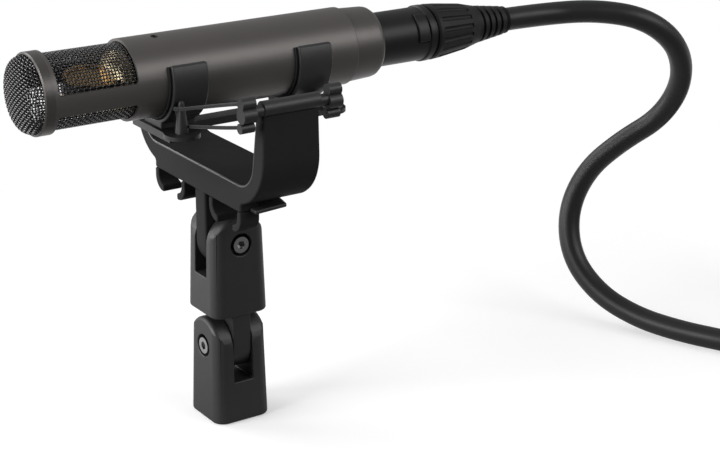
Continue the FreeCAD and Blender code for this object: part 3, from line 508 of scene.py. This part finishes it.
def soften(solid, width):
    """Rounds a solid's sharp edges. Its flat faces are joined first, so that rounds follow whole edges."""
    weld = solid.modifiers.new("weld", "WELD")
    weld.merge_threshold = 1e-6
    flat = solid.modifiers.new("flat", "DECIMATE")
    flat.decimate_type = "DISSOLVE"
    flat.angle_limit = math.radians(FLAT_ANGLE)
    rounded = solid.modifiers.new("rounded", "BEVEL")
    rounded.width = width * MM
    rounded.segments = 2
    rounded.limit_method = "ANGLE"
    rounded.angle_limit = math.radians(SHARP_ANGLE)
    rounded.use_clamp_overlap = False
    rounded.miter_outer = "MITER_ARC"
    even = solid.modifiers.new("even", "WEIGHTED_NORMAL")
    even.weight = 60


for name, solid in frame["nodes"].items():
    for held in solid.material_slots:
        held.material = FINISHES[SPECIAL_FINISHES.get(name, SLOTS[name])]
    if name in EDGE_WIDTHS:
        soften(solid, EDGE_WIDTHS[name])

# ------------------------------------------------------------------------------------- tubes and surfaces

AXIS_HEIGHT = 127.0
MIC_ROLL = math.radians(8.0)


def mesh_piece(name, points, faces):
    """A piece from points in millimetres. Its four-sided faces are shaded smooth, and its caps flat."""
    mesh = bpy.data.meshes.new(name)
    mesh.from_pydata(metres(points), [], faces)
    mesh.polygons.foreach_set("use_smooth", [len(face) == 4 for face in faces])
    mesh.update()
    made = bpy.data.objects.new(name, mesh)
    bpy.context.collection.objects.link(made)
    return made


def unit(vectors):
    """Rows of a table as directions."""
    return vectors / np.linalg.norm(vectors, axis=1)[:, None]


def tube_mesh(name, paths, radius, sides, closed=False):
    """A mesh of tubes along paths. Each path is a list of points with a list of directions across it, which
    say how its cross-sections are turned. Open tubes get end caps."""
    points, faces = [], []
    for centres, normals in paths:
        first = len(points) * sides
        centres, normals = np.asarray(centres, float), np.asarray(normals, float)
        ahead = np.roll(centres, -1, 0) - np.roll(centres, 1, 0)
        if not closed:
            ahead[0] = centres[1] - centres[0]
            ahead[-1] = centres[-1] - centres[-2]
        ahead = unit(ahead)
        side = unit(np.cross(ahead, normals))
        up = np.cross(side, ahead)
        angles = np.arange(sides) * 2 * math.pi / sides
        ring = side[:, None] * np.cos(angles)[None, :, None] + up[:, None] * np.sin(angles)[None, :, None]
        points.extend(centres[:, None] + radius * ring)
        count = len(centres)
        for i in range(count if closed else count - 1):
            here, there = first + i * sides, first + (i + 1) % count * sides
            for k in range(sides):
                after = (k + 1) % sides
                faces.append((here + k, there + k, there + after, here + after))
        if not closed:
            faces.append(tuple(first + k for k in range(sides)))
            faces.append(tuple(first + (count - 1) * sides + k for k in reversed(range(sides))))
    return mesh_piece(name, np.concatenate(points), faces)


def rolled(x, across, up):
    """Directions laid out about the microphone's axis and turned by its roll."""
    y = across * math.cos(MIC_ROLL) - up * math.sin(MIC_ROLL)
    z = across * math.sin(MIC_ROLL) + up * math.cos(MIC_ROLL)
    return np.stack([np.broadcast_to(x, y.shape), y, z], -1)


def on_axis(x, across, up):
    """Points laid out about the microphone's axis, turned by its roll and lifted to its height."""
    return rolled(x, across, up) + (0, 0, AXIS_HEIGHT)


# -------------------------------------------------------------------------------------------- yoke's bead, a painted highlight

YOKE_CENTRE = 115.0
BEAD_RADIUS = 0.42
BEAD_SINK = 0.3
BEAD_SIDES = 10


def yoke_edge():
    """Points of the inner edge of the yoke's front face, in order along it, in millimetres. Each comes with
    the sum of the directions in which the inner faces look there."""
    solid = frame["nodes"]["yoke"]
    shape = bmesh.new()
    shape.from_mesh(solid.data)
    shape.transform(solid.matrix_world)
    bmesh.ops.remove_doubles(shape, verts=shape.verts, dist=1e-6)
    centre = Vector((0, 0, YOKE_CENTRE * MM))
    corners = {}
    for edge in shape.edges:
        if len(edge.link_faces) != 2:
            continue
        # The front face looks forward. The inner one looks across, and towards the yoke's centre.
        front, inner = sorted((face.normal for face in edge.link_faces), key=lambda normal: normal.x)
        inward = centre - (edge.verts[0].co + edge.verts[1].co) / 2
        inward.x = 0
        if front.x < -0.9 and abs(inner.x) < 0.5 and inner.dot(inward.normalized()) > 0.1:
            for corner in edge.verts:
                place = corners.setdefault(corner.index, [corner.co / MM, Vector()])
                place[1] += inner
    shape.free()
    return sorted(corners.values(), key=lambda place: math.atan2(place[0].y, YOKE_CENTRE - place[0].z))


def yoke_highlight_bead():
    """The polished bead along the inner edge of the yoke's front face, in a lighter copy of the yoke's
    plastic: a painted highlight line. It is sunk a little into the yoke.
    """
    back = Vector((BEAD_SINK, 0, 0))
    spots = np.array([point + back - normal.normalized() * BEAD_SINK for point, normal in yoke_edge()])
    run = path_lengths(spots)
    # The bead's cross-sections are about a millimetre apart.
    even = np.linspace(0, run[-1], int(run[-1]))
    path = np.stack([np.interp(even, run, spots[:, axis]) for axis in range(3)], -1)
    forward = np.tile((1.0, 0.0, 0.0), (len(path), 1))
    bead = tube_mesh("yoke_highlight_bead", [(path, forward)], BEAD_RADIUS, BEAD_SIDES)
    bead.data.materials.append(FINISHES["yoke_highlight_bead"])
    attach(bead, "bracket")


yoke_highlight_bead()

# ---------------------------------------------------------------------------------------------- gold dome with a painted gleam

GILT_BASE = -38.0
GILT_RISE = 5.6
GILT_REACH = 10.8
GILT_TIP = 0.001
GILT_RINGS = 36
GILT_COLUMNS = 72
GROOVE_PITCH = 0.9
GROOVE_DEPTH = 0.01


def capsule_dome():
    """The gold dome of the bulkhead behind the capsule, with fine turned rings on it. Its gold is a paler,
    lighter copy, a painted gleam.
    """
    angles = np.arange(GILT_COLUMNS) * 2 * math.pi / GILT_COLUMNS
    points, faces = [], []
    for i in range(GILT_RINGS + 1):
        swing = 0.5 * math.pi * i / GILT_RINGS
        radius = GILT_REACH * math.sin(swing) + GILT_TIP
        groove = GROOVE_DEPTH * math.cos(radius * 2 * math.pi / GROOVE_PITCH)
        x = GILT_BASE - (GILT_RISE + groove) * math.cos(swing)
        points.extend(on_axis(x, radius * np.cos(angles), radius * np.sin(angles)))
    for i in range(GILT_RINGS):
        here, there = i * GILT_COLUMNS, (i + 1) * GILT_COLUMNS
        for k in range(GILT_COLUMNS):
            after = (k + 1) % GILT_COLUMNS
            faces.append((here + k, here + after, there + after, there + k))
    faces.append(tuple(range(GILT_COLUMNS)))
    faces.append(tuple(GILT_RINGS * GILT_COLUMNS + k for k in reversed(range(GILT_COLUMNS))))
    dome = mesh_piece("capsule_dome", points, faces)
    # The dome gets the paler gold: a painted gleam.
    dome.data.materials.append(FINISHES["gold_painted_gleam"])
    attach(dome, "microphone")


capsule_dome()

# ----------------------------------------------------------------------------------------------- grilles

# Every wire goes over and under the wires that cross it by the weave's lift. From one to the next it has the
# weave's number of steps.
WIRE_RADIUS = 0.205
WIRE_SIDES = 6
WEAVE_LIFT = WIRE_RADIUS * 0.95
WEAVE_STEPS = 4

SIDE_RADIUS = 12.02
SIDE_FRONT, SIDE_REAR = -69.0, -36.0
SIDE_WIRES, SIDE_RINGS = 72, 32

# The front cloth is a ball's cap of the curve's radius, with a rounded corner at the rim. Its wires are
# counted from the middle to either side, and none runs within the margin of the edge.
FRONT_TIP = -74.9 + WIRE_RADIUS * 2
FRONT_BACK = -69.2
FRONT_RIM = 12.3
FRONT_CURVE = 48.0
FRONT_CORNER = 3.4
FRONT_PITCH = 1.02
FRONT_COUNT = 14
FRONT_MARGIN = 0.3
FEWEST_STEPS = 8
SLOPE_STEP = 0.05


def side_grille():
    """Woven wire cloth rolled into a tube behind the windows: wires along the axis, and rings around it."""
    pitch = (SIDE_REAR - SIDE_FRONT) / (SIDE_RINGS - 1)
    along = np.linspace(SIDE_FRONT, SIDE_REAR, (SIDE_RINGS - 1) * WEAVE_STEPS + 1)
    wires = []
    for i in range(SIDE_WIRES):
        angle = 2 * math.pi * i / SIDE_WIRES
        across, up = np.full_like(along, math.cos(angle)), np.full_like(along, math.sin(angle))
        out = SIDE_RADIUS + WEAVE_LIFT * np.cos(math.pi * ((along - SIDE_FRONT) / pitch - i))
        wires.append((on_axis(along, out * across, out * up), rolled(0, across, up)))
    around = np.arange(SIDE_WIRES * WEAVE_STEPS) / WEAVE_STEPS
    across, up = np.cos(around * 2 * math.pi / SIDE_WIRES), np.sin(around * 2 * math.pi / SIDE_WIRES)
    rings = []
    for j in range(SIDE_RINGS):
        out = SIDE_RADIUS - WEAVE_LIFT * np.cos(math.pi * (around - j))
        rings.append((on_axis(SIDE_FRONT + j * pitch, out * across, out * up), rolled(0, across, up)))
    return [
        tube_mesh("side_grille_wires", wires, WIRE_RADIUS, WIRE_SIDES),
        tube_mesh("side_grille_rings", rings, WIRE_RADIUS, WIRE_SIDES, closed=True),
    ]


def front_profile():
    """The front grille's half section, from its tip over the dome and the rounded rim to its back: how far
    along it each point lies, and the radius and x there."""
    inner = FRONT_RIM - FRONT_CORNER
    touch = math.asin(inner / (FRONT_CURVE - FRONT_CORNER))
    middle = FRONT_CURVE - math.sqrt((FRONT_CURVE - FRONT_CORNER) ** 2 - inner**2) + FRONT_TIP
    sweep = np.linspace(0, touch, 40)
    turn = np.linspace(touch, math.pi / 2, 24)[1:]
    radius = np.concatenate([FRONT_CURVE * np.sin(sweep), inner + FRONT_CORNER * np.sin(turn), [FRONT_RIM]])
    dome = FRONT_TIP + FRONT_CURVE - FRONT_CURVE * np.cos(sweep)
    x = np.concatenate([dome, middle - FRONT_CORNER * np.cos(turn), [FRONT_BACK]])
    return path_lengths(np.stack([radius, x], -1)), radius, x


def front_wires(profile, upright):
    """The upright or the level wires of the front grille, with directions that face out of the cloth."""
    run, radius, x = profile
    reach = run[-1]

    def section(distance):
        return np.interp(distance, run, radius), np.interp(distance, run, x)

    wires = []
    for i in range(-FRONT_COUNT, FRONT_COUNT + 1):
        offset = (i + 0.5) * FRONT_PITCH
        if abs(offset) > reach - FRONT_MARGIN:
            continue
        half = math.sqrt(reach**2 - offset**2)
        count = max(FEWEST_STEPS, int(half * 2 / FRONT_PITCH * WEAVE_STEPS))
        steps = np.linspace(-half, half, count)
        fixed = np.full_like(steps, offset)
        across, up = (fixed, steps) if upright else (steps, fixed)
        distance = np.hypot(across, up)
        across, up = across / distance, up / distance
        ahead, behind = section(distance + SLOPE_STEP), section(distance - SLOPE_STEP)
        widening, deepening = ahead[0] - behind[0], ahead[1] - behind[1]
        length = np.hypot(widening, deepening)
        out_x, out_r = -widening / length, deepening / length
        lift = (1 if upright else -1) * WEAVE_LIFT * np.cos(math.pi * (steps / FRONT_PITCH - 0.5 - i))
        r, depth = section(distance)
        spots = on_axis(depth + lift * out_x, across * (r + lift * out_r), up * (r + lift * out_r))
        wires.append((spots, rolled(out_x, across * out_r, up * out_r)))
    return wires


def front_grille():
    """Woven wire cloth pressed into a shallow dome with a rounded rim. Its weave is square in the middle and
    drawn together at the rim."""
    profile = front_profile()
    return [
        tube_mesh("front_grille_levels", front_wires(profile, False), WIRE_RADIUS, WIRE_SIDES),
        tube_mesh("front_grille_uprights", front_wires(profile, True), WIRE_RADIUS, WIRE_SIDES),
    ]


# Each cloth's wires are one metal in lit and shaded copies: the first set is painted bright and the second
# painted dark, as overhead light would catch the level wires and leave the others in shade.
for grille, node in ((side_grille(), "side_mesh"), (front_grille(), "front_mesh")):
    for wires, finish in zip(grille, ("mesh", "painted_shade_wire")):
        wires.data.materials.append(FINISHES[finish])
        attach(wires, "microphone")
        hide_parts(node)

# ---------------------------------------------------------------------------------------------- elastics

# The cradle's posts by end, -1 for the front and 1 for the rear, and their radii where the two strands pass.
POSTS = {-1: -24.5, 1: 31.5}
POST_TOPS = {-1: 121.0, 1: 118.6}
POST_SIDE = 16.0
POST_RADIUS_HIGH, POST_RADIUS_LOW = 1.25, 2.0
# How far below the post's top the upper strand passes it, and the height at which the lower strand does.
STRAND_DROP = 1.6
STRAND_LOW = 112.9
# How far along the yoke's arm its lobes lie from the middle, how high a loop goes over them, and how
# far out its strands spread on the way there.
LOBE_MIDDLE = 15.9
LOBE_TOP = 126.0
MIDWAY = 33.2
# The elastic's radius in millimetres, the sides of its tube, and the steps of its line from one knot to the
# next.
ELASTIC_RADIUS = 0.62
ELASTIC_SIDES = 12
ELASTIC_STEPS = 10


def elastic_route(side, end):
    """An elastic loop's closed path, around the back of the cradle's post and over the lobes on the arm."""
    post = POSTS[end]
    high, low = POST_TOPS[end] - STRAND_DROP, STRAND_LOW
    round_top, round_low = POST_RADIUS_HIGH + ELASTIC_RADIUS, POST_RADIUS_LOW + ELASTIC_RADIUS
    lobe = end * LOBE_MIDDLE
    outer = post - lobe
    away = 1 if outer > 0 else -1
    return [
        (post + away * round_top * 0.3, side * (POST_SIDE - round_top), high - 0.9),
        (post + away * round_top, side * (POST_SIDE - 0.6), high),
        (post + away * round_top * 0.85, side * (POST_SIDE + 2.2), high + 0.4),
        (lobe + outer * 0.35, side * MIDWAY, high + (LOBE_TOP - high) * 0.65),
        (lobe + away * 0.2, side * 41.6, LOBE_TOP - 0.3),
        (lobe, side * 43.0, LOBE_TOP),
        (lobe, side * 43.4, LOBE_TOP - 1.4),
        (lobe, side * 42.6, LOBE_TOP - 6.4),
        (lobe, side * 42.3, LOBE_TOP - 8.0),
        (lobe + away * 0.2, side * 40.8, LOBE_TOP - 8.2),
        (lobe + outer * 0.35, side * MIDWAY, low + 3.4),
        (post - away * round_low * 0.9, side * (POST_SIDE + 1.8), low + 0.4),
        (post - away * round_low, side * (POST_SIDE - 0.6), low),
        (post - away * round_low * 0.5, side * (POST_SIDE - round_low * 0.9), low + 0.7),
        (post, side * (POST_SIDE - round_low * 0.92), (high + low) / 2),
    ]


def smooth_loop(knots, steps):
    """A closed Catmull-Rom line through the knots."""
    knots = np.asarray(knots, float)
    share = np.linspace(0, 1, steps, endpoint=False)[:, None]
    found = []
    for i in range(len(knots)):
        before, start, stop, after = (knots[(i + k) % len(knots)] for k in (-1, 0, 1, 2))
        slope = stop - before
        bend = 2 * before - 5 * start + 4 * stop - after
        twist = 3 * start - before - 3 * stop + after
        found.append(0.5 * (2 * start + slope * share + bend * share**2 + twist * share**3))
    return np.concatenate(found)


def untwisted(line):
    """A direction across a closed line at each of its points, carried along it without twisting."""
    up = np.array((0.02, 0.05, 1.0))
    found = []
    for step in unit(np.roll(line, -1, 0) - np.roll(line, 1, 0)):
        up = up - step * np.dot(up, step)
        up = up / np.linalg.norm(up)
        found.append(up)
    return found


def lay_out(strand, line):
    """Coordinates on an elastic for its braid: the share of a turn around it, and the metres along it."""
    layer = strand.data.uv_layers.new(name="strand")
    length = path_lengths(line) * MM
    for face in strand.data.polygons:
        ring, column = divmod(face.index, ELASTIC_SIDES)
        for loop in face.loop_indices:
            at_ring, at_column = divmod(strand.data.loops[loop].vertex_index, ELASTIC_SIDES)
            wrap = 1.0 if column == ELASTIC_SIDES - 1 and at_column == 0 else 0.0
            lap = length[-1] if ring == len(line) - 1 and at_ring == 0 else 0.0
            layer.data[loop].uv = (at_column / ELASTIC_SIDES + wrap, length[at_ring] + lap)


def make_elastic(name, side, end):
    """An elastic loop with a braided sheath, which stretches between the cradle's post and the arm."""
    line = smooth_loop(elastic_route(side, end), ELASTIC_STEPS)
    path = (line, untwisted(line))
    strand = tube_mesh(f"{name}_strand", [path], ELASTIC_RADIUS, ELASTIC_SIDES, closed=True)
    lay_out(strand, line)
    strand.data.materials.append(FINISHES["elastic"])
    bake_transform(strand)
    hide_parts(name)


for end_name, end in (("front", -1), ("rear", 1)):
    for side_name, side in (("near", -1), ("far", 1)):
        make_elastic(f"{end_name}_{side_name}_elastic", side, end)

# ------------------------------------------------------------------------------------------------ studio

# The direction of the studio's dark side, and the walls' brightness by how far they lie towards it.
DARK_SIDE = (-0.42, -0.86, 0.28)
WALLS = ((0.0, 0.4), (0.35, 0.26), (0.7, 0.08), (1.0, 0.03))

# The floor's size and ranges are in metres. Near the object the camera sees its colour and its glow, and
# beyond the white range plain white. In mirror images it changes over the pale range from dim, on the dark
# side, to what the camera sees. The light that it spreads is dim.
FLOOR_HALF = 6.0
FLOOR_DROP = 0.0001
FLOOR_COLOUR = grey(0.8)
FLOOR_GLOW = 0.36
FLOOR_DIM = grey(0.17)
WHITE_RANGE = (0.13, 0.27)
PALE_RANGE = (0.06, -0.14)

# Each lamp's name, place, target, size and power, in metres and watts.
LAMPS = (
    ("left_box", (-1.0, 0.05, 0.45), (0.0, 0, 0.1), (0.7, 0.7), 11),
    ("key_box", (0.5, -0.8, 0.66), (0.05, 0, 0.1), (0.9, 0.5), 4.3),
    ("back_box", (-0.4, 0.95, 0.75), (0.0, 0, 0.1), (0.9, 0.4), 5),
    ("rim_box", (-0.85, 0.85, 0.2), (0.0, 0, 0.1), (0.5, 0.3), 3),
)


def floor_finish():
    """A surface that is white away from the object and keeps its shadow near it. It is clear from below."""
    nodes = Nodes("floor")

    def mixed(factor, first, second):
        return nodes.add("MixShader", {0: factor, 1: first, 2: second}).outputs[0]

    def ranged(value, limits):
        inputs = {"Value": value, "From Min": limits[0], "From Max": limits[1]}
        return nodes.add("MapRange", inputs).outputs[0]

    spot = nodes.add("NewGeometry").outputs
    away = nodes.add("VectorMath", {0: spot["Position"]}, operation="LENGTH")
    forward = nodes.add("VectorMath", {0: spot["Position"], 1: DARK_SIDE}, operation="DOT_PRODUCT")
    diffuse = nodes.add("BsdfDiffuse", {"Color": FLOOR_COLOUR}).outputs[0]
    glow = nodes.add("Emission", {"Color": grey(1.0), "Strength": FLOOR_GLOW}).outputs[0]
    lit = nodes.add("AddShader", {0: diffuse, 1: glow}).outputs[0]
    white = nodes.add("Emission", {"Color": grey(1.0), "Strength": 1.0}).outputs[0]
    dim = nodes.add("BsdfDiffuse", {"Color": FLOOR_DIM}).outputs[0]
    seen = mixed(ranged(away.outputs["Value"], WHITE_RANGE), lit, white)
    mirrored = mixed(ranged(forward.outputs["Value"], PALE_RANGE), dim, seen)
    path = nodes.add("LightPath").outputs
    glossy = nodes.math("MAXIMUM", path["Is Glossy Ray"], path["Is Transmission Ray"])
    shown = mixed(path["Is Camera Ray"], mixed(glossy, dim, mirrored), seen)
    clear = nodes.add("BsdfTransparent").outputs[0]
    return nodes.surface(mixed(spot["Backfacing"], shown, clear))


def make_floor():
    """A pale square floor just under the ground."""
    mesh = bpy.data.meshes.new("floor")
    corners = [(x * FLOOR_HALF, y * FLOOR_HALF, 0) for x, y in ((-1, -1), (1, -1), (1, 1), (-1, 1))]
    mesh.from_pydata(corners, [], [(0, 1, 2, 3)])
    floor = bpy.data.objects.new("floor", mesh)
    floor.location.z = -FLOOR_DROP
    bpy.context.collection.objects.link(floor)
    mesh.materials.append(floor_finish())


def make_lamp(name, place, target, size, power):
    """A rectangular soft box that the camera doesn't see."""
    data = bpy.data.lights.new(name, "AREA")
    data.shape = "RECTANGLE"
    data.size, data.size_y = size
    data.energy = power
    lamp = bpy.data.objects.new(name, data)
    lamp.location = place
    lamp.rotation_mode = "QUATERNION"
    lamp.rotation_quaternion = (Vector(target) - Vector(place)).to_track_quat("-Z", "Y")
    lamp.visible_camera = False
    bpy.context.collection.objects.link(lamp)


def make_world():
    """White where the camera sees it. To the object it is a studio: pale walls behind, overhead and at the
    left, and darkness on the side from which the object is looked at."""
    world = bpy.data.worlds.new("world")
    bpy.context.scene.world = world
    world.use_nodes = True
    tree = world.node_tree
    background = tree.nodes["Background"]

    def link(start, end):
        tree.links.new(start, end)

    place = tree.nodes.new("ShaderNodeTexCoord")
    toward = tree.nodes.new("ShaderNodeVectorMath")
    toward.operation = "DOT_PRODUCT"
    toward.inputs[1].default_value = DARK_SIDE
    link(place.outputs["Generated"], toward.inputs[0])
    ramp = tree.nodes.new("ShaderNodeValToRGB")
    link(toward.outputs["Value"], ramp.inputs["Fac"])
    elements = ramp.color_ramp.elements
    while len(elements) < len(WALLS):
        elements.new(0.5)
    for element, (position, level) in zip(elements, WALLS):
        element.position = position
        element.color = grey(level)
    ramp.color_ramp.interpolation = "EASE"
    path = tree.nodes.new("ShaderNodeLightPath")
    shown = tree.nodes.new("ShaderNodeMixRGB")
    link(path.outputs["Is Camera Ray"], shown.inputs["Fac"])
    link(ramp.outputs["Color"], shown.inputs["Color1"])
    shown.inputs["Color2"].default_value = grey(1.0)
    link(shown.outputs["Color"], background.inputs["Color"])
    background.inputs["Strength"].default_value = 1.0


make_floor()
make_world()
for lamp in LAMPS:
    make_lamp(*lamp)
